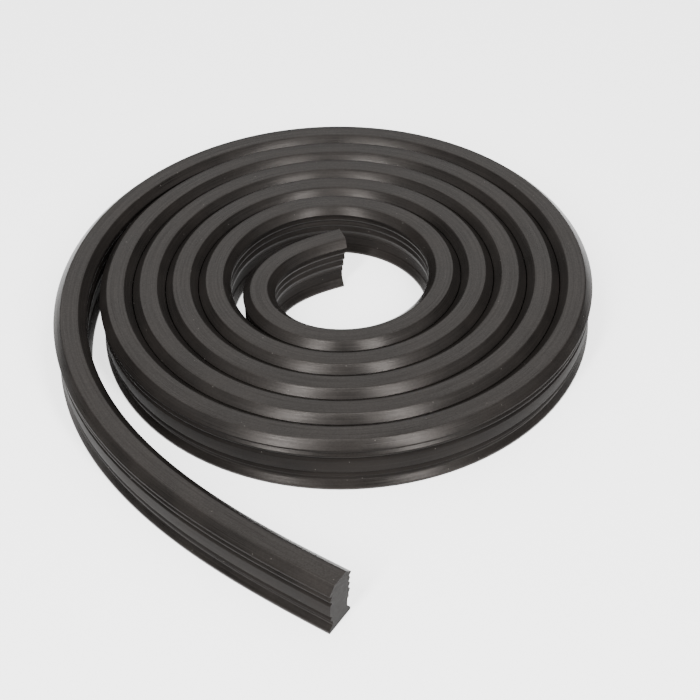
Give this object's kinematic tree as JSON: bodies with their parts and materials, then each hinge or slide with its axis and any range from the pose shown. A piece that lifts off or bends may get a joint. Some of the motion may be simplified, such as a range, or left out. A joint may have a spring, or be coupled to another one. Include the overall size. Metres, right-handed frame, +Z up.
{
  "type": "dishwasher door gasket",
  "caption": "Length of black extruded rubber door seal with a flat-topped head, ribbed walls and a wide foot, wound into a flat open coil with its free end sprung out",
  "frame": {"origin": "On the floor plane under the middle of the box around the coil and its free end", "axes": "+Z up from the foot to the flat sealing face, +Y from the free end towards the back of the coil, +X to the right with the coil growing anticlockwise seen from above"},
  "size_m": [0.195, 0.2452, 0.021],
  "materials": {
    "black_rubber": "satin black extruded rubber with faint lengthwise die lines"
  },
  "bodies": {
    "root": {"gasket_strip": "black_rubber"}
  },
  "joints": []
}
